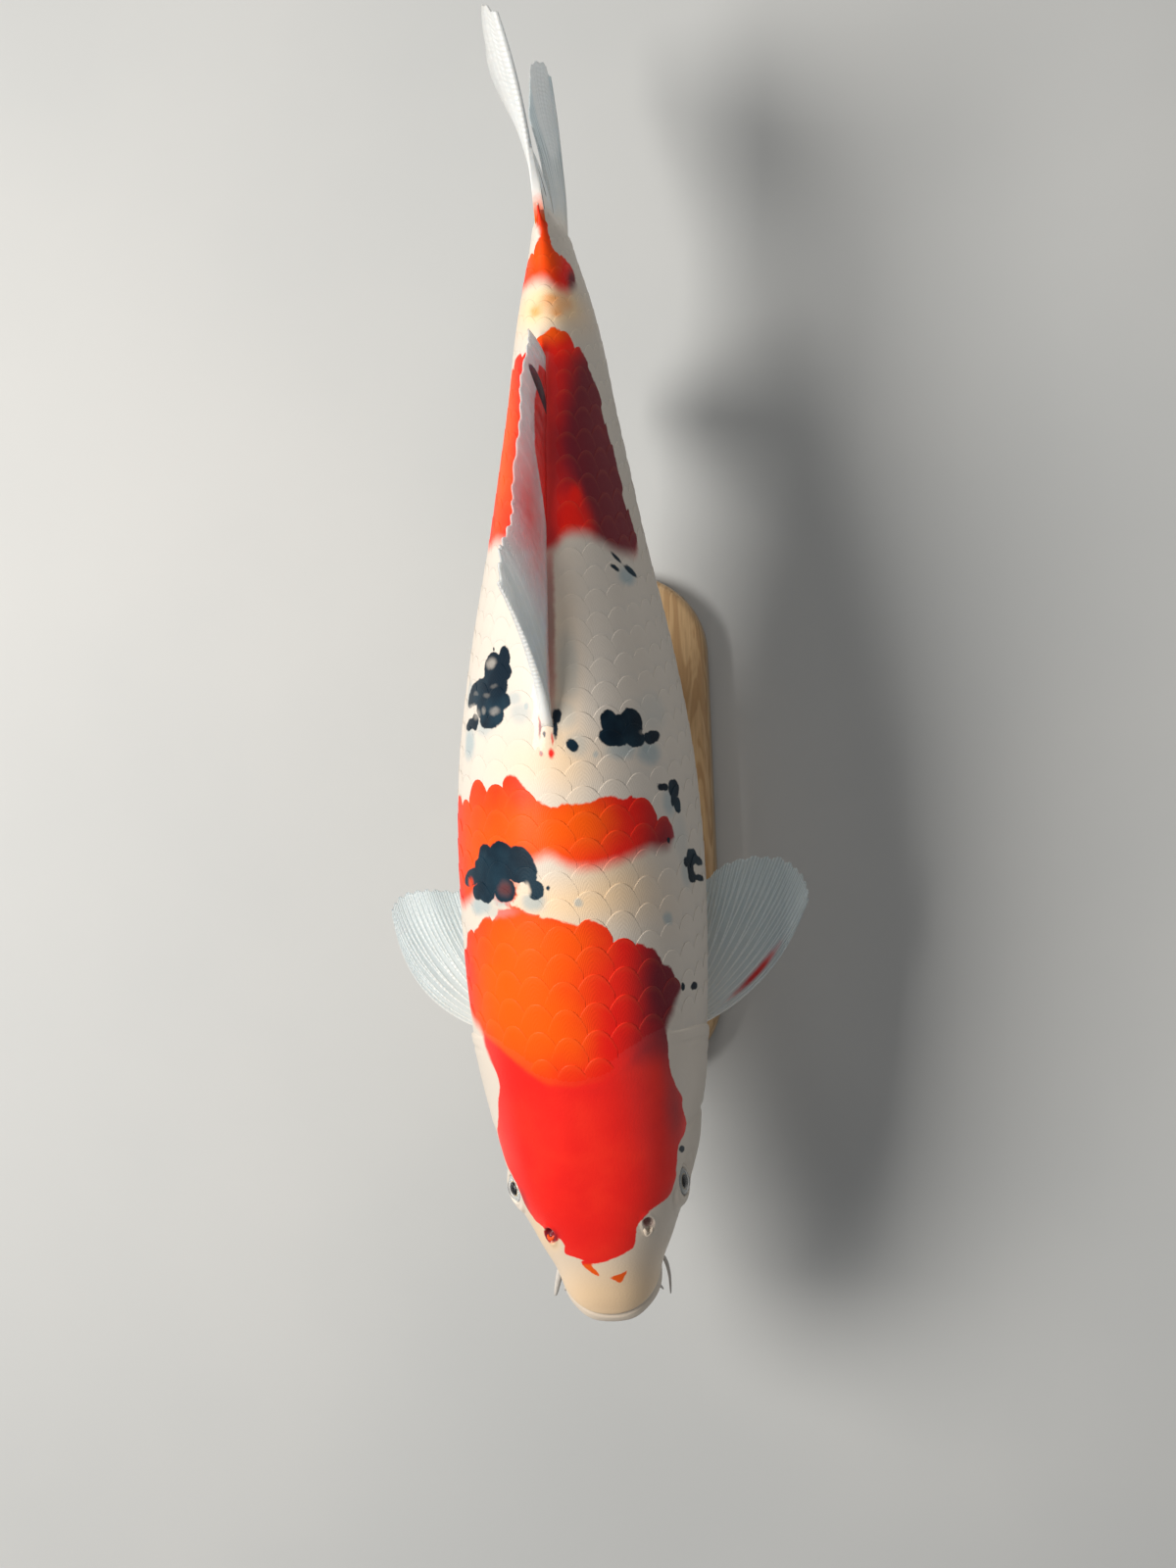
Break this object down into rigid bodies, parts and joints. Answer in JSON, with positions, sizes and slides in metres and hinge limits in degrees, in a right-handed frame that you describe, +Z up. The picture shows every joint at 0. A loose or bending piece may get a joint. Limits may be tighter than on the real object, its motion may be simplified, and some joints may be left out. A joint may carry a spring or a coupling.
{
  "type": "koi carp display model",
  "caption": "Life-size still model of a Taisho Sanke koi carp, gliding level with its fins spread, on a low wooden stand with steel rods.",
  "frame": {"origin": "on the floor, under the middle of the model's box; the stand rests on z = 0", "axes": "+Z up, the head points along -Y and the tail along +Y, so the fish's own left side is +X"},
  "size_m": [0.2149, 0.64, 0.2632],
  "materials": {
    "skin_white": "wet, smooth gloss over fine scales",
    "skin_red": "wet, smooth gloss",
    "fin": "thin and milky, satin",
    "eye": "polished",
    "wood": "oiled pale maple",
    "steel": "brushed"
  },
  "bodies": {
    "root": {"head": "skin_red", "lower_jaw": "skin_white", "gill_cover_left": "skin_white", "gill_cover_right": "skin_white", "eye_left": "eye", "eye_right": "eye", "barbel_front_left": "skin_white", "barbel_front_right": "skin_white", "barbel_rear_left": "skin_white", "barbel_rear_right": "skin_white", "trunk": "skin_white", "tail_stalk": "skin_white", "dorsal_fin": "fin", "pectoral_fin_left": "fin", "pectoral_fin_right": "fin", "pelvic_fin_left": "fin", "pelvic_fin_right": "fin", "anal_fin": "fin", "tail_fin_upper": "fin", "tail_fin_lower": "fin", "stand_base": "wood", "stand_collar_front": "steel", "stand_collar_rear": "steel", "stand_rod_front": "steel", "stand_rod_rear": "steel"}
  },
  "joints": []
}
